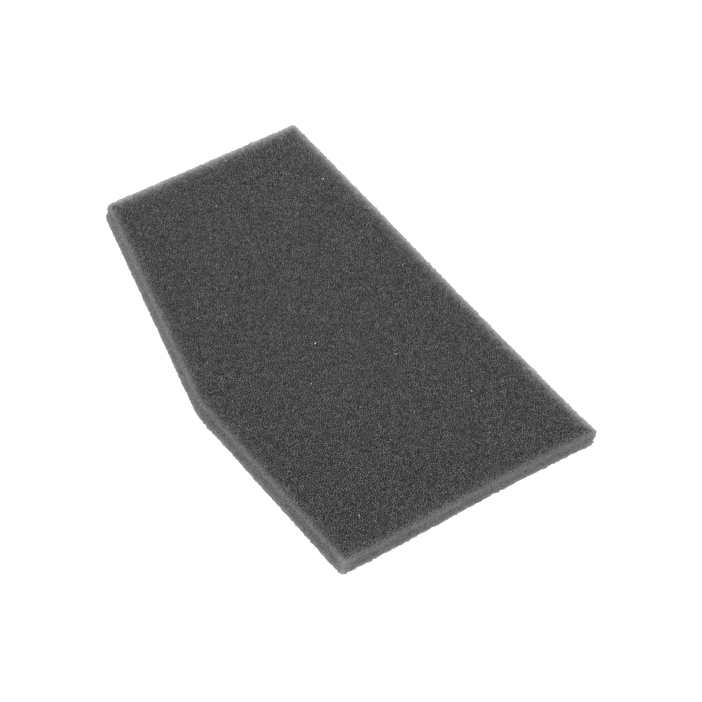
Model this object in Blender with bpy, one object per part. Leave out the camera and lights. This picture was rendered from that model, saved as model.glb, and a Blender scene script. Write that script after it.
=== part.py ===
"""Foam filter pad: one flat die-cut sheet of open-cell foam.

The outline is a rectangle with a long corner cut away on a slant. That leaves a
narrow end at -X, a wide end at +X, one straight long side at +Y, and a shorter
straight side at -Y that meets the slant at a shallow kink. Metres, +Z up. The
origin is on the flat underside, below the middle of the outline's box.
"""

import math

import bmesh
import bpy
from mathutils import Vector

LENGTH = 0.236  # along X
WIDE_END = 0.1555  # along Y, at +X
NARROW_END = 0.1175  # along Y, at -X
SLANT_RUN = 0.126  # how far along X the slant reaches from the narrow end
THICKNESS = 0.010

CORNER_RADIUS = 0.0015  # of the four outer corners, seen from above
KINK_RADIUS = 0.015  # where the slant meets the straight side
RIM_SOFTNESS = 0.0008  # width of the worn bevel round the top and the underside
ARC_STEP = math.radians(15)  # turn of each facet along a rounded corner

FOAM_COLOUR = (0.062, 0.062, 0.064, 1.0)
FOAM_ROUGHNESS = 0.95


def clear_scene():
    for obj in list(bpy.data.objects):
        bpy.data.objects.remove(obj, do_unlink=True)


def pad_corners():
    """The five corners, anticlockwise from above, each with its radius."""
    x, y = LENGTH / 2, WIDE_END / 2
    return [
        (Vector((-x, y - NARROW_END)), CORNER_RADIUS),
        (Vector((-x + SLANT_RUN, -y)), KINK_RADIUS),
        (Vector((x, -y)), CORNER_RADIUS),
        (Vector((x, y)), CORNER_RADIUS),
        (Vector((-x, y)), CORNER_RADIUS),
    ]


def arc_at(corner, before, after, radius):
    """Points along the arc that rounds off a convex corner."""
    arriving = (corner - before).normalized()
    leaving = (after - corner).normalized()
    turn = arriving.angle(leaving)
    start = corner - arriving * radius * math.tan(turn / 2)
    centre = start + Vector((-arriving.y, arriving.x)) * radius
    steps = max(2, round(turn / ARC_STEP))
    first = math.atan2(start.y - centre.y, start.x - centre.x)
    angles = (first + turn * i / steps for i in range(steps + 1))
    return [centre + radius * Vector((math.cos(a), math.sin(a))) for a in angles]


def rounded_outline(corners):
    points = []
    for i, (corner, radius) in enumerate(corners):
        before = corners[i - 1][0]
        after = corners[(i + 1) % len(corners)][0]
        points += arc_at(corner, before, after, radius)
    return points


def foam_material():
    material = bpy.data.materials.new("foam")
    material.use_nodes = True
    shader = material.node_tree.nodes["Principled BSDF"]
    shader.inputs["Base Color"].default_value = FOAM_COLOUR
    shader.inputs["Roughness"].default_value = FOAM_ROUGHNESS
    shader.inputs["Metallic"].default_value = 0.0
    return material


def slab_mesh(name, outline, thickness):
    """The outline's flat face at Z = 0, extruded up to the top face."""
    bm = bmesh.new()
    base = bm.faces.new([bm.verts.new((p.x, p.y, 0.0)) for p in outline])
    extruded = bmesh.ops.extrude_face_region(bm, geom=[base])
    risen = [g for g in extruded["geom"] if isinstance(g, bmesh.types.BMVert)]
    bmesh.ops.translate(bm, verts=risen, vec=(0.0, 0.0, thickness))
    bmesh.ops.recalc_face_normals(bm, faces=bm.faces)
    mesh = bpy.data.meshes.new(name)
    bm.to_mesh(mesh)
    bm.free()
    return mesh


def make_foam_pad():
    outline = rounded_outline(pad_corners())
    pad = bpy.data.objects.new("foam_pad", slab_mesh("foam_pad", outline, THICKNESS))
    bpy.context.scene.collection.objects.link(pad)
    pad.data.materials.append(foam_material())
    rims = pad.modifiers.new("soft_rims", "BEVEL")
    rims.width = RIM_SOFTNESS
    rims.segments = 2
    rims.limit_method = "ANGLE"
    rims.angle_limit = math.radians(45)
    pad.data.shade_smooth()
    pad.data.set_sharp_from_angle(angle=math.radians(30))
    return pad


clear_scene()
make_foam_pad()
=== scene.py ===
"""Visual model of the foam filter pad: a die-cut sheet of open-cell foam.

The pad's skin is a closed surface with small spikes set into it. The surface is
made from cell centres strewn over the faces of the slab. The centres are
triangulated, and the triangulation's dual gives the foam: each triangle becomes
a knot where three struts meet, each edge a strut between two knots, and each
centre the floor of a pore. The spikes are struts that the cutter left standing.
"""

import math

import bpy
import numpy as np
from mathutils import Matrix, Vector
from mathutils.geometry import delaunay_2d_cdt


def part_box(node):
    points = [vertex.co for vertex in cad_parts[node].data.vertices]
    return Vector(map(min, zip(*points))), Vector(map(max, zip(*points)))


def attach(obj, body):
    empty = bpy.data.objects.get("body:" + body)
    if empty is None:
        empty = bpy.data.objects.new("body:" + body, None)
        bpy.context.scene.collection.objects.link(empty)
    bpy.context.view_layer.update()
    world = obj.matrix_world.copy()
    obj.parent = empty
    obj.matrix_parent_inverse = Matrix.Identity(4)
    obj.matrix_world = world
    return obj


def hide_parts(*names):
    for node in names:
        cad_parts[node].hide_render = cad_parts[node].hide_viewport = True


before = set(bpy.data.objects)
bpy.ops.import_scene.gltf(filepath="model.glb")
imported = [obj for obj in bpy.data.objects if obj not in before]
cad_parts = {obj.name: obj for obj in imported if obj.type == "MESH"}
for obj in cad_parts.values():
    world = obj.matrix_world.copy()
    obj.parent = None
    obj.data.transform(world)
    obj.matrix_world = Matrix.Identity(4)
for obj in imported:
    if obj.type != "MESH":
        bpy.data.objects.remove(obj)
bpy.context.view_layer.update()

MM = 0.001
NODE = "foam_pad"
SEED = 11

# The die-cut outline, as the CAD solid has it.
NARROW_END = 117.5 * MM
SLANT_RUN = 126.0 * MM
CORNER_RADIUS = 1.5 * MM
KINK_RADIUS = 15.0 * MM
ARC_POINTS = 9
RIM_RADIUS = 0.6 * MM

# How the sheet lies: how far its wide end, long side and outer corner stand out,
# and the hollow or full stretches of an edge as height, centre and spread.
END_OUT = 0.3 * MM
END_HOLLOW = (-0.55 * MM, 0.62, 0.17)
END_FULL = (0.25 * MM, 0.15, 0.12)
SIDE_OUT = 0.5 * MM
SIDE_HOLLOW = (-0.40 * MM, 0.58, 0.20)
EDGE_FADE = 18.0 * MM
CORNER_OUT = 1.1 * MM
CORNER_REACH = 11.0 * MM
WAVE_SHARE = 0.012
WAVE_X = 31.0 * MM
WAVE_Y = 23.0 * MM

# The foam's cells.
PITCH = 1.10 * MM
GAP = 0.78 * PITCH
THROWS = 8
RIM_JITTER = 0.3
WALL_MARGIN = (0.6 * PITCH, 0.75 * PITCH)
FACE_MARGIN = 0.75 * PITCH
STRUT_SHARE = 0.14
STRUT_SPREAD = (0.5, 1.6)
PORE_DEPTH = (0.3 * MM, 1.0 * MM)
KNOT_RISE = 0.10 * MM
EDGE_KNOT_RISE = 0.26 * MM
OUTSET = 0.42 * MM
STRUT_DROP = 0.13 * MM
SINK = 0.1 * MM
RIM_FADE = 1.9 * MM
NEAR_RIM_GAIN = 1.3
BACKLIGHT_WIDENS = 0.5
RIM_SHALLOWS = 0.7

# Cut strut ends that stand out of the skin. None stand where the normal points
# further down than UNDERSIDE.
STUB_HEIGHT = (0.4 * MM, 2.4 * MM)
STUB_RADIUS = 0.11 * MM
STUB_LEAN = 0.5
STUB_BIAS = (1.0, 1.0, 0.5)
STUB_SHARE = 0.03
EDGE_STUB_SHARE = 1.0
UNDERSIDE = -0.35
GLINTS = 50
GLINT_HEIGHT = (0.3 * MM, 0.7 * MM)
GLINT_RADIUS = 0.28 * MM

# Colours of the struts' crests and of the hollows, on the faces, walls and rims.
# The hollows' colours are painted shade. The walls are painted lighter than the top,
# as lit from the sides, and the rims far paler, as painted light shining through.
TOP_CREST = (0.100, 0.100, 0.102, 1)
TOP_PORE_SHADE = (0.003, 0.003, 0.003, 1)
WALL_LIT_CREST = (0.185, 0.185, 0.185, 1)
WALL_LIT_PORE_SHADE = (0.032, 0.032, 0.032, 1)
RIM_LIT_CREST = (0.58, 0.58, 0.58, 1)
RIM_LIT_PORE_SHADE = (0.42, 0.42, 0.42, 1)
TONES = (0.12, 2.9)
EVEN_TONE = 0.31
CELL_TONE = 0.4
WALL_SPECKLE = 0.25

# How far into a pore a knot, a lip and a floor count, and where the hollow's painted
# shade begins. At the rims the painted rim light fills the hollows too.
PORE_MARKS = (0.0, 0.1, 1.0)
PORE_SHADE_RANGE = (0.08, 0.32)
RIM_LIGHT_FILLS = 0.7

# The struts' fine grain.
GRAIN_SCALE = 2500.0
ROUGHNESS = (0.62, 0.95)
BUMP_STRENGTH = 0.4
BUMP_HEIGHT = 0.05 * MM

# Painted light at the rims and outer corners, where light shines through the foam. The
# upper rim is painted palest on the long straight edge and the narrow end, as lit from
# behind; the lower rim and the outer corners are painted paler too.
RIM_GAIN = 0.18
BACKLIT_RIM_GAIN = 0.85
BACKLIGHT_SIDE = (0.64, -0.77)
BACKLIGHT_BASE = 0.35
BACKLIGHT_SPREAD = 1.3
BACKLIGHT_TURN = 3.0 * MM
BACKLIGHT_DOWN_FADE = 0.45 * MM
CORNER_LIGHT_GAIN = 0.25
CORNER_FADE = 3.5 * MM
LOWER_RIM_LIGHT_GAIN = 0.62
LOWER_RIM_LIGHT_LOSS = 0.7

# The flat map of the skin: the top face, then the walls in rows, and the underside
# smaller, beside the rows of the shorter walls. An automatic map would cut so many
# small faces into scraps, so the skin carries this one.
MAP_NAME = "OFBake"
MAP_SIDE = 242.0 * MM
MAP_GAP = 3.0 * MM
WALLS_FROM = 162.0 * MM
WALL_ROW = 15.5 * MM
WALL_ROWS = (1, 2, 3, 0, 4)
SMALLER = 1 / 3
SMALLER_FROM = (160.0 * MM, 180.0 * MM)
FLAT_ENOUGH = 0.6
PATCH_LOW = (200.0 * MM, 235.0 * MM)
PATCH_HIGH = (206.0 * MM, 240.0 * MM)

# The camera, aimed at a point of the top face near the middle.
AIM = (18.66 * MM, 6.04 * MM, 10.0 * MM)
CAMERA_AZIMUTH = 39.79
CAMERA_ELEVATION = 46.75
CAMERA_DISTANCE = 1.5767
CAMERA_ROLL = -15.39
LENS = 167.9

# The softboxes, each as its place, its side and its power, and the white surroundings.
WINDOW = ((-0.25, 0.60, 0.50), 0.7, 2.5)
FILL = ((-1.0, -0.16, 0.22), 0.5, 6.0)
WORLD_STRENGTH = 1.0
FLOOR_HALF = 6.0
FLOOR_COLOUR = (0.9, 0.9, 0.9, 1)
FLOOR_ROUGHNESS = 0.8
FLOOR_GLOW = 0.75
WHITE = (1, 1, 1, 1)

rng = np.random.default_rng(SEED)


def sharp_corners(length, width):
    """The outline's corners from above, anticlockwise. The second is the kink."""
    x, y = length / 2, width / 2
    return [(-x, y - NARROW_END), (-x + SLANT_RUN, -y), (x, -y), (x, y), (-x, y)]


def rounded_outline(length, width):
    """The outline from above, anticlockwise, as closely spaced points."""
    radii = (CORNER_RADIUS, KINK_RADIUS, CORNER_RADIUS, CORNER_RADIUS, CORNER_RADIUS)
    corners = list(zip(sharp_corners(length, width), radii))
    points = []
    for i, (corner, radius) in enumerate(corners):
        corner = Vector(corner)
        arriving = (corner - Vector(corners[i - 1][0])).normalized()
        leaving = (Vector(corners[(i + 1) % 5][0]) - corner).normalized()
        turn = arriving.angle(leaving)
        start = corner - arriving * radius * math.tan(turn / 2)
        centre = start + Vector((-arriving.y, arriving.x)) * radius
        first = math.atan2(start.y - centre.y, start.x - centre.x)
        for a in np.linspace(first, first + turn, ARC_POINTS):
            points.append(centre + radius * Vector((math.cos(a), math.sin(a))))
    return np.array(points)


class Outline:
    """The closed outline, read by distance travelled along it."""

    def __init__(self, points):
        self.points = np.vstack([points, points[:1]])
        steps = np.linalg.norm(np.diff(self.points, axis=0), axis=1)
        self.travelled = np.concatenate([[0.0], np.cumsum(steps)])
        self.length = self.travelled[-1]

    def at(self, s):
        s = np.mod(s, self.length)
        return np.stack([np.interp(s, self.travelled, self.points[:, k]) for k in (0, 1)], axis=1)

    def inward(self, s, reach=0.1 * PITCH):
        tangent = self.at(s + reach) - self.at(s - reach)
        tangent /= np.linalg.norm(tangent, axis=1)[:, None]
        return np.stack([-tangent[:, 1], tangent[:, 0]], axis=1)


def painted_backlight(outline, s):
    """How much painted backlight the upper rim gets beside each place, changing gradually at the
    corners.
    """
    facing = outline.inward(s, BACKLIGHT_TURN) @ np.array(BACKLIGHT_SIDE)
    return np.clip(BACKLIGHT_BASE + BACKLIGHT_SPREAD * facing, 0, 1)


def clear_of(points, cell, grid, known, rank, gap):
    """Which points keep the gap from the grid's known points of a lower rank."""
    clear = np.ones(len(points), bool)
    for i in range(-2, 3):
        for j in range(-2, 3):
            other = grid[cell[:, 0] + i, cell[:, 1] + j]
            near = np.flatnonzero((other >= 0) & (other < rank))
            gaps = np.linalg.norm(points[near] - known[other[near]], axis=1)
            clear[near[gaps < gap]] = False
    return clear


def strewn(low, high, gap):
    """Points strewn evenly over a rectangle, none closer than the gap to another."""
    side = gap / math.sqrt(2)
    shape = np.ceil((high - low) / side).astype(int) + 4
    count = shape[0] * shape[1] // 3
    taken = np.full(shape, -1)
    points = np.empty((0, 2))
    for _ in range(THROWS):
        thrown = rng.uniform(low, high, (count, 2))
        cell = ((thrown - low) / side).astype(int) + 2
        _, first = np.unique(cell[:, 0] * shape[1] + cell[:, 1], return_index=True)
        free = first[taken[cell[first, 0], cell[first, 1]] < 0]
        thrown, cell = thrown[free], cell[free]
        kept = clear_of(thrown, cell, taken, points, len(points), gap)
        thrown, cell = thrown[kept], cell[kept]
        fresh = np.full(shape, -1)
        fresh[cell[:, 0], cell[:, 1]] = rng.permutation(len(thrown))
        rank = fresh[cell[:, 0], cell[:, 1]]
        kept = clear_of(thrown, cell, fresh, thrown[np.argsort(rank)], rank, gap)
        thrown, cell = thrown[kept], cell[kept]
        taken[cell[:, 0], cell[:, 1]] = len(points) + np.arange(len(thrown))
        points = np.vstack([points, thrown])
    return points


def triangles_over(ring, inner):
    """Triangles, anticlockwise, inside the ring and through the inner points.

    The vertices are the ring's points, then the inner ones. The triangulation also
    fills the ring's notches, with triangles that meet the ring's points backwards.
    """
    points = [Vector(p) for p in np.vstack([ring, inner]).tolist()]
    made = delaunay_2d_cdt(points, [], [list(range(len(ring)))], 1, 1e-9, True)
    source = [ids[0] for ids in made[3]]
    triangles = np.array([[source[v] for v in face] for face in made[2]])
    rises = (triangles < np.roll(triangles, -1, axis=1)).sum(axis=1)
    in_notch = (triangles < len(ring)).all(axis=1) & (rises == 1)
    return triangles[~in_notch]


def rim_row(count, step, z):
    """One rim's cells, as travel and height. Each may sit just past the arris."""
    travel = (np.arange(count) + rng.uniform(-RIM_JITTER, RIM_JITTER, count)) * step
    height = z + rng.uniform(-RIM_JITTER, RIM_JITTER, count) * PITCH
    travel[0], height[0] = 0.0, z
    return np.column_stack([travel, height])


def wall_cells(outline, thickness):
    """The wall's cells and triangles, and how many cells each rim has.

    The wall is triangulated as an unrolled strip. The lower rim's cells come
    first, then the upper rim's, then a column at the seam where the strip closes.
    """
    count = round(outline.length / PITCH)
    step = outline.length / count
    rises = np.arange(PITCH, thickness - 0.5 * PITCH, PITCH)
    seam = np.column_stack([np.zeros(len(rises)), rises])
    margin = np.array(WALL_MARGIN)
    rows = [rim_row(count, step, 0.0), rim_row(count, step, thickness), seam]
    rows.append(strewn(margin, np.array([outline.length, thickness]) - margin, GAP))
    st = np.vstack(rows)
    row_ends = np.cumsum([len(row) for row in rows])[:-1]
    lower, upper, column, inner = np.split(np.arange(len(st)), row_ends)
    ends = np.concatenate([lower[:1], column, upper[:1]])
    border = np.concatenate([lower, ends, upper[:0:-1], ends[:0:-1]])
    ring = st[border]
    ring[count : count + len(ends), 0] += outline.length
    triangles = np.concatenate([border, inner])[triangles_over(ring, st[inner])]
    return cells_at(outline, *st.T, thickness), triangles, count


def cells_at(outline, travel, height, thickness):
    """The table of wall cells. One past an arris lies that far in on the face."""
    inward = outline.inward(travel)
    d = np.maximum(-height, 0) + np.maximum(height - thickness, 0)
    return {
        "xy": outline.at(travel) + inward * d[:, None],
        "z": np.clip(height, 0, thickness),
        "d": d,
        "inward": inward,
        "pale": painted_backlight(outline, travel),
    }


def face_cells(outline, length, width, z):
    """Cell centres strewn over the top or the underside."""
    half = np.array([length, width]) / 2
    spots = strewn(-half, half, GAP)
    travel = np.arange(0.0, outline.length, 0.5 * PITCH)
    rim, inward = outline.at(travel), outline.inward(travel)
    best = np.full(len(spots), np.inf)
    nearest = np.zeros(len(spots), int)
    for i, point in enumerate(rim):
        gap = ((spots - point) ** 2).sum(axis=1)
        closer = gap < best
        best[closer] = gap[closer]
        nearest[closer] = i
    d = ((spots - rim[nearest]) * inward[nearest]).sum(axis=1)
    kept = d > FACE_MARGIN
    nearest = nearest[kept]
    return {
        "xy": spots[kept],
        "z": np.full(len(nearest), z),
        "d": d[kept],
        "inward": inward[nearest],
        "pale": painted_backlight(outline, travel)[nearest],
    }


def strewn_cells(outline, length, width, thickness):
    """All cell centres as one table, and the closed triangulation over them."""
    wall, triangles, count = wall_cells(outline, thickness)
    tables, total = [wall], len(wall["z"])
    triangles = [triangles]
    rims = np.arange(count), count + np.arange(count)
    for ring, z, flip in ((rims[1], thickness, False), (rims[0], 0.0, True)):
        face = face_cells(outline, length, width, z)
        local = triangles_over(wall["xy"][ring], face["xy"])
        index = np.concatenate([ring, total + np.arange(len(face["z"]))])
        made = index[local]
        triangles.append(made[:, ::-1] if flip else made)
        tables.append(face)
        total += len(face["z"])
    cells = joined(tables)
    return cells, np.concatenate(triangles)


def twins(triangles, count):
    """For each directed edge 3 * t + k, the same edge as the neighbour runs it."""
    start = triangles.astype(np.int64).ravel()
    end = np.roll(triangles, -1, axis=1).astype(np.int64).ravel()
    key = start * count + end
    order = np.argsort(key)
    return order[np.searchsorted(key[order], end * count + start)]


def on_skin(at, thickness):
    """Points of the sharp slab moved onto its rounded skin, with the outward normal."""
    core_d = np.maximum(at["d"], RIM_RADIUS)
    core_z = np.clip(at["z"], RIM_RADIUS, thickness - RIM_RADIUS)
    out = np.stack([at["d"] - core_d, at["z"] - core_z], axis=1)
    out /= np.maximum(np.linalg.norm(out, axis=1), 1e-9)[:, None]
    shift = core_d + RIM_RADIUS * out[:, 0] - at["d"]
    xy = at["xy"] + at["inward"] * shift[:, None]
    point = np.column_stack([xy, core_z + RIM_RADIUS * out[:, 1]])
    normal = np.column_stack([at["inward"] * out[:, :1], out[:, 1]])
    return point, normal / np.linalg.norm(normal, axis=1)[:, None]


def swelling(at, height, centre, spread):
    """A stretch of an edge that stands out by the height at its centre."""
    return height * np.exp(-(((at - centre) / spread) ** 2))


def warped(point, length, width):
    """The sheet as it lies: its long and wide edges a little hollow, one corner flared."""
    x, y, z = point.T
    along, across = x / length + 0.5, y / width + 0.5
    end = END_OUT + swelling(across, *END_HOLLOW) + swelling(across, *END_FULL)
    side = SIDE_OUT + swelling(along, *SIDE_HOLLOW)
    from_end, from_side = x - length / 2, y - width / 2
    corner = CORNER_OUT * np.exp(-np.hypot(from_end, from_side) / CORNER_REACH)
    moved_x = x + end * np.exp(from_end / EDGE_FADE) + corner
    moved_y = y + side * np.exp(from_side / EDGE_FADE) + corner
    wave = np.sin(x / WAVE_X + 0.7) * np.sin(y / WAVE_Y + 0.3)
    return np.column_stack([moved_x, moved_y, z * (1 + WAVE_SHARE * wave)])


def stubs(root, normal, radius, reach):
    """A slim three-sided spike on each root, as points and faces counted from 0."""
    count = len(root)
    axis = normal * STUB_BIAS + rng.normal(0.0, STUB_LEAN, (count, 3))
    axis /= np.linalg.norm(axis, axis=1)[:, None]
    side = np.cross(axis, rng.normal(size=(count, 3)))
    side /= np.linalg.norm(side, axis=1)[:, None]
    other = np.cross(axis, side)
    low = root - axis * 2 * radius
    corners = []
    for turn in (0, 1, 2):
        a = turn * 2 * math.pi / 3
        corners.append(low + radius * (math.cos(a) * side + math.sin(a) * other))
    length = reach[0] + (reach[1] - reach[0]) * rng.random(count) ** 2
    point = np.stack([*corners, root + axis * length[:, None]], axis=1).reshape(-1, 3)
    base = 4 * np.arange(count)[:, None]
    face = np.concatenate([base + f for f in ([0, 1, 3], [1, 2, 3], [2, 0, 3], [2, 1, 0])])
    return point, face


def joined(parts):
    return {k: np.concatenate([p[k] for p in parts]) for k in parts[0]}


def picked(table, rows):
    return {k: v[rows] for k, v in table.items()}


def mixed(a, b, share):
    return {k: a[k] + (b[k] - a[k]) * (share if a[k].ndim == 1 else share[:, None]) for k in a}


def skin_places(cells, triangles):
    """Where the knots, the struts' lips and the pores' floors sit on the sharp slab.

    Each corner of each triangle has a lip, a little way from the knot to the cell.
    """
    own_cell = triangles.ravel()
    own_knot = np.repeat(np.arange(len(triangles)), 3)
    knots = {k: v[triangles].mean(axis=1) for k, v in cells.items()}
    share = STRUT_SHARE * rng.uniform(*STRUT_SPREAD, len(own_cell))
    lips = mixed(picked(knots, own_knot), picked(cells, own_cell), share)
    at = joined([knots, lips, cells])
    reach = np.linalg.norm(at["inward"], axis=1)
    at["inward"] = at["inward"] / np.maximum(reach, 1e-9)[:, None]
    return at


def skin_faces(triangles, floors):
    """The struts' quads and the pores' triangles, as vertex numbers."""
    knots, lips = len(triangles), triangles.size
    twin = twins(triangles, floors)
    edge = np.arange(lips)
    far = 3 * (twin // 3) + (twin % 3 + 1) % 3
    struts = np.stack([knots + far, twin // 3, edge // 3, knots + edge], axis=1)
    pores = np.stack([knots + lips + triangles.ravel(), knots + far, knots + edge], axis=1)
    return struts, pores


def rim_shares(at, thickness):
    """How near each place is to the upper rim and to the lower one."""
    upper = np.exp(-(at["d"] + thickness - at["z"]) / RIM_FADE)
    lower = np.exp(-(at["d"] + at["z"]) / RIM_FADE)
    return upper, lower


def rim_light(at, upper, lower, length, width, thickness):
    """How pale the foam is near the rims and outer corners, where light gets through."""
    first, _kink, *others = sharp_corners(length, width)
    gaps = [np.linalg.norm(at["xy"] - corner, axis=1) for corner in (first, *others)]
    gap = np.min(gaps, axis=0)
    steeper = (1 / BACKLIGHT_DOWN_FADE - 1 / RIM_FADE) * at["pale"]
    upper = upper * np.exp(-steeper * (thickness - at["z"]))
    rim = upper * (RIM_GAIN + (BACKLIT_RIM_GAIN - RIM_GAIN) * at["pale"])
    rim = rim + lower * LOWER_RIM_LIGHT_GAIN * (1 - LOWER_RIM_LIGHT_LOSS * at["pale"])
    return rim + CORNER_LIGHT_GAIN * (1 - rim) * np.exp(-gap / CORNER_FADE - at["d"] / RIM_FADE)


def skin_heights(triangles, floors, at_edge, near_rim):
    """How far each point stands out of the slab's plain skin."""
    knots, lips = len(triangles), triangles.size
    rise = KNOT_RISE + (EDGE_KNOT_RISE - KNOT_RISE) * at_edge[:knots]
    rise = rise * rng.normal(0.0, 1.0, knots)
    drop = STRUT_DROP * rng.uniform(*STRUT_SPREAD, lips)
    depth = rng.uniform(*PORE_DEPTH, floors) * (1 - RIM_SHALLOWS * near_rim[-floors:])
    return OUTSET + np.concatenate([rise, np.repeat(rise, 3) - drop, -depth])


def skin_tones(triangles, floors, near_rim):
    """A tone for each point: most are dark, a few pale, and the rims are even.

    A lip takes a part of its tone from its cell.
    """
    floor_tone = rng.random(floors) ** 2
    knot_tone = rng.random(len(triangles)) ** 2
    lip_tone = rng.random(triangles.size) ** 2
    lip_tone = CELL_TONE * floor_tone[triangles.ravel()] + (1 - CELL_TONE) * lip_tone
    tone = np.concatenate([knot_tone, lip_tone, floor_tone])
    return tone + (EVEN_TONE - tone) * near_rim


def with_stubs(point, normal, masks, chance, faces):
    """The skin with cut strut ends on its knots, and a few larger glinting ones."""
    bearing = np.flatnonzero(rng.random(len(chance)) < chance)
    glinting = rng.choice(np.flatnonzero(chance), GLINTS, replace=False)
    for root, radius, reach in (
        (bearing, STUB_RADIUS, STUB_HEIGHT),
        (glinting, GLINT_RADIUS, GLINT_HEIGHT),
    ):
        more, face = stubs(point[root], normal[root], radius, reach)
        faces.append(face + len(point))
        point = np.vstack([point, more])
        normal = np.vstack([normal, np.repeat(normal[root], 4, axis=0)])
        masks = {k: np.concatenate([v, np.repeat(v[root], 4, axis=0)]) for k, v in masks.items()}
    # The glints take the full painted rim light, as painted pale highlights.
    masks["rim"][-4 * GLINTS :] = 1.0
    return point, masks


def side_rows(length, width):
    """Each wall's start, its direction and its row's height on the flat map."""
    corners = np.array(sharp_corners(length, width))
    along = np.roll(corners, -1, axis=0) - corners
    along /= np.linalg.norm(along, axis=1)[:, None]
    return corners, along, WALLS_FROM + WALL_ROW * np.array(WALL_ROWS)


def flat_map(face, place, length, width):
    """Where each corner of each face lies on the flat map.

    A place is x, y and the height unrolled past the arrises, then the normal.
    """
    at = place[face]
    normal = at[..., 3:].mean(axis=1)
    starts, along, rows = side_rows(length, width)
    outward = np.column_stack([along[:, 1], -along[:, 0]])
    side = np.argmax(normal[:, :2] @ outward.T, axis=1)
    gone = np.einsum("ijk,ik->ij", at[..., :2] - starts[side][:, None], along[side])
    on_wall = np.stack([gone, rows[side][:, None] + at[..., 2]], axis=2)
    above = at[..., :2] + np.array([length, width]) / 2
    below = above * SMALLER + np.array(SMALLER_FROM)
    flat = np.abs(normal[:, 2])[:, None, None] > FLAT_ENOUGH
    on_face = np.where(normal[:, 2][:, None, None] > 0, above, below - MAP_GAP)
    return (np.where(flat, on_face, on_wall) + MAP_GAP) / MAP_SIDE


def map_corners(faces, place, length, width):
    """The flat map for all faces. The last ones, the glints', share one patch."""
    corners = [flat_map(face, place, length, width).reshape(-1, 2) for face in faces[:-1]]
    (x0, y0), (x1, y1) = PATCH_LOW, PATCH_HIGH
    patch = np.array([(x0, y0), (x1, y0), (x1, y1), (x0, y1)]) / MAP_SIDE
    corners.append(patch[(faces[-1] - len(place)).ravel() % 4])
    return np.concatenate(corners)


def map_places(at, normal, thickness):
    """The table that flat_map reads, with a row for each point of the skin."""
    unrolled = at["z"] + at["d"] * np.sign(at["z"] - thickness / 2)
    return np.column_stack([at["xy"], unrolled, normal])


def as_mesh(name, point, faces, masks, corners):
    mesh = bpy.data.meshes.new(name)
    loops = np.concatenate([f.ravel() for f in faces]).astype(np.int32)
    sizes = np.concatenate([np.full(len(f), f.shape[1]) for f in faces]).astype(np.int32)
    starts = np.concatenate([[0], np.cumsum(sizes)[:-1]]).astype(np.int32)
    mesh.vertices.add(len(point))
    mesh.vertices.foreach_set("co", point.astype(np.float32).ravel())
    mesh.loops.add(len(loops))
    mesh.loops.foreach_set("vertex_index", loops)
    mesh.polygons.add(len(sizes))
    mesh.polygons.foreach_set("loop_start", starts)
    mesh.polygons.foreach_set("loop_total", sizes)
    mesh.polygons.foreach_set("use_smooth", np.ones(len(sizes), bool))
    mesh.uv_layers.new(name=MAP_NAME)
    mesh.uv_layers[MAP_NAME].data.foreach_set("uv", corners.astype(np.float32).ravel())
    mesh.update()
    mesh.validate()
    for mask, value in masks.items():
        layer = mesh.attributes.new(mask, "FLOAT", "POINT")
        layer.data.foreach_set("value", value.astype(np.float32))
    return mesh


def foam_mesh(length, width, thickness):
    outline = Outline(rounded_outline(length, width))
    cells, triangles = strewn_cells(outline, length, width, thickness)
    knots, lips, floors = len(triangles), triangles.size, len(cells["z"])
    at = skin_places(cells, triangles)
    point, normal = on_skin(at, thickness)
    upper, lower = rim_shares(at, thickness)
    near_upper = upper ** (1 - BACKLIGHT_WIDENS * at["pale"])
    near_rim = np.minimum(NEAR_RIM_GAIN * (near_upper + lower), 1)
    wall = 1.0 - np.abs(normal[:, 2])
    masks = {
        "pore": np.repeat(PORE_MARKS, [knots, lips, floors]),
        "tone": skin_tones(triangles, floors, near_rim),
        # The rim mask carries painted light: the rims and outer corners lit through the foam.
        "rim": rim_light(at, upper, lower, length, width, thickness),
        "wall": wall,
        "place": map_places(at, normal, thickness),
    }
    at_edge = np.maximum((upper + lower) ** 2, wall)
    point = point + normal * skin_heights(triangles, floors, at_edge, near_rim)[:, None]
    faces = list(skin_faces(triangles, floors))
    chance = STUB_SHARE + (EDGE_STUB_SHARE - STUB_SHARE) * at_edge[:knots]
    chance = np.where(normal[:knots, 2] < UNDERSIDE, 0.0, chance)
    point, masks = with_stubs(point, normal, masks, chance, faces)
    point[:, 2] = np.maximum(point[:, 2], -SINK)
    corners = map_corners(faces, masks.pop("place"), length, width)
    return as_mesh("foam_pad_skin", warped(point, length, width), faces, masks, corners)


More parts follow.
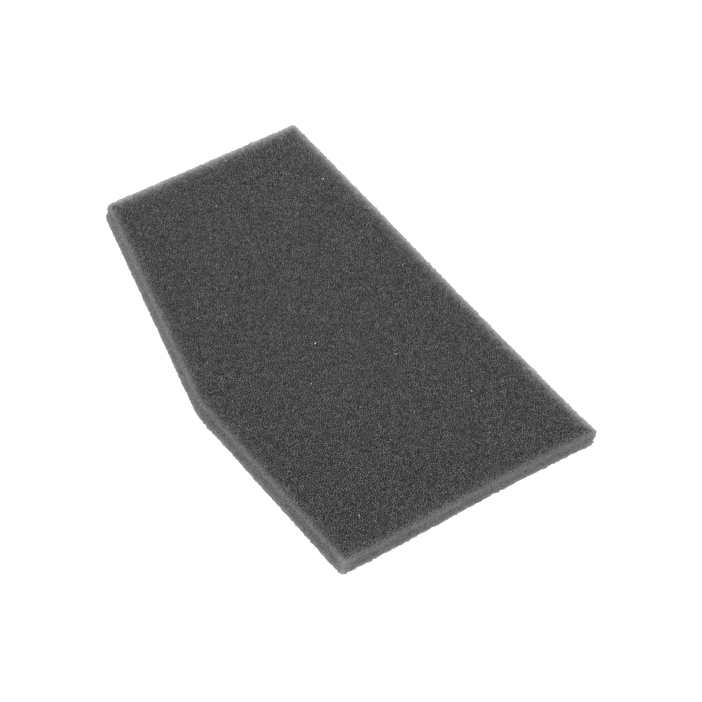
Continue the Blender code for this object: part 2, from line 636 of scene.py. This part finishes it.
class Nodes:
    """Short calls for building one material's node tree."""

    def __init__(self, name):
        self.material = bpy.data.materials.new(name)
        self.material.use_nodes = True
        self.tree = self.material.node_tree
        self.shader = self.tree.nodes["Principled BSDF"]

    def put(self, socket, value):
        if isinstance(value, bpy.types.NodeSocket):
            self.tree.links.new(value, socket)
        else:
            socket.default_value = value

    def attribute(self, name):
        node = self.tree.nodes.new("ShaderNodeAttribute")
        node.attribute_name = name
        return node.outputs["Fac"]

    def math(self, operation, a, b=0.0):
        node = self.tree.nodes.new("ShaderNodeMath")
        node.operation = operation
        self.put(node.inputs[0], a)
        self.put(node.inputs[1], b)
        return node.outputs["Value"]

    def blend(self, factor, a, b, kind="MIX"):
        node = self.tree.nodes.new("ShaderNodeMix")
        node.data_type = "RGBA"
        node.blend_type = kind
        self.put(node.inputs["Factor"], factor)
        self.put(node.inputs["A"], a)
        self.put(node.inputs["B"], b)
        return node.outputs["Result"]

    def step(self, value, start, end, low=0.0, high=1.0, kind="SMOOTHSTEP"):
        node = self.tree.nodes.new("ShaderNodeMapRange")
        node.interpolation_type = kind
        self.put(node.inputs["Value"], value)
        node.inputs["From Min"].default_value = start
        node.inputs["From Max"].default_value = end
        node.inputs["To Min"].default_value = low
        node.inputs["To Max"].default_value = high
        return node.outputs["Result"]

    def noise(self, scale, detail=2.0, rough=0.5):
        place = self.tree.nodes.new("ShaderNodeTexCoord")
        node = self.tree.nodes.new("ShaderNodeTexNoise")
        node.inputs["Scale"].default_value = scale
        node.inputs["Detail"].default_value = detail
        node.inputs["Roughness"].default_value = rough
        self.tree.links.new(place.outputs["Object"], node.inputs["Vector"])
        return node.outputs["Fac"]


def foam_material():
    n = Nodes("foam")
    # Painted shade in the pores' hollows; painted light on the walls, at the rims and on the
    # glints.
    pore_shade = n.step(n.attribute("pore"), *PORE_SHADE_RANGE)
    rim, wall, tone = n.attribute("rim"), n.attribute("wall"), n.attribute("tone")
    lit_crest = n.blend(rim, n.blend(wall, TOP_CREST, WALL_LIT_CREST), RIM_LIT_CREST)
    rim_light_fill = n.step(rim, 0.0, RIM_LIGHT_FILLS, kind="LINEAR")
    hollow = n.blend(rim_light_fill, n.blend(wall, TOP_PORE_SHADE, WALL_LIT_PORE_SHADE), RIM_LIT_PORE_SHADE)
    plain = n.blend(pore_shade, lit_crest, hollow)
    speckle = n.step(tone, 0.0, 1.0, *TONES, "LINEAR")
    calm = n.step(wall, 0.3, 0.8, 1.0, WALL_SPECKLE)
    swing = n.math("MULTIPLY", n.math("SUBTRACT", speckle, 1.0), calm)
    speckle = n.math("ADD", 1.0, swing)
    n.put(n.shader.inputs["Base Color"], n.blend(1.0, plain, speckle, "MULTIPLY"))
    grain = n.noise(GRAIN_SCALE)
    n.put(n.shader.inputs["Roughness"], n.step(grain, 0.3, 0.7, *ROUGHNESS))
    bump = n.tree.nodes.new("ShaderNodeBump")
    bump.inputs["Strength"].default_value = BUMP_STRENGTH
    bump.inputs["Distance"].default_value = BUMP_HEIGHT
    n.put(bump.inputs["Height"], grain)
    n.put(n.shader.inputs["Normal"], bump.outputs["Normal"])
    return n.material


def place_camera():
    data = bpy.data.cameras.new("camera")
    data.lens = LENS
    data.clip_start = 0.05
    data.clip_end = 50.0
    camera = bpy.data.objects.new("camera", data)
    bpy.context.scene.collection.objects.link(camera)
    a, e = math.radians(CAMERA_AZIMUTH), math.radians(CAMERA_ELEVATION)
    back = Vector((math.sin(a) * math.cos(e), -math.cos(a) * math.cos(e), math.sin(e)))
    turn = back.to_track_quat("Z", "Y").to_matrix().to_4x4()
    roll = Matrix.Rotation(math.radians(-CAMERA_ROLL), 4, "Z")
    camera.matrix_world = Matrix.Translation(Vector(AIM) + back * CAMERA_DISTANCE) @ turn @ roll
    bpy.context.scene.camera = camera


def softbox(name, place, side, watts):
    light = bpy.data.lights.new(name, "AREA")
    light.shape = "SQUARE"
    light.size = side
    light.energy = watts
    box = bpy.data.objects.new(name, light)
    bpy.context.scene.collection.objects.link(box)
    box.location = place
    box.rotation_euler = Vector(place).to_track_quat("Z", "Y").to_euler()
    box.visible_camera = False


def white_floor():
    mesh = bpy.data.meshes.new("floor")
    h = FLOOR_HALF
    mesh.from_pydata([(-h, -h, 0), (h, -h, 0), (h, h, 0), (-h, h, 0)], [], [(0, 1, 2, 3)])
    floor = bpy.data.objects.new("floor", mesh)
    bpy.context.scene.collection.objects.link(floor)
    material = bpy.data.materials.new("floor")
    material.use_nodes = True
    shader = material.node_tree.nodes["Principled BSDF"]
    shader.inputs["Base Color"].default_value = FLOOR_COLOUR
    shader.inputs["Roughness"].default_value = FLOOR_ROUGHNESS
    shader.inputs["Emission Color"].default_value = WHITE
    shader.inputs["Emission Strength"].default_value = FLOOR_GLOW
    mesh.materials.append(material)
    return floor


def set_stage():
    scene = bpy.context.scene
    world = bpy.data.worlds.new("studio")
    scene.world = world
    world.use_nodes = True
    background = world.node_tree.nodes["Background"]
    background.inputs["Color"].default_value = WHITE
    background.inputs["Strength"].default_value = WORLD_STRENGTH
    softbox("window", *WINDOW)
    softbox("fill", *FILL)
    floor = white_floor()
    scene.view_settings.view_transform = "Standard"


low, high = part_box(NODE)
pad = bpy.data.objects.new("foam_pad_skin", foam_mesh(*(high - low)))
bpy.context.scene.collection.objects.link(pad)
pad.data.materials.append(foam_material())
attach(pad, "root")
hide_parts(NODE)
place_camera()
set_stage()
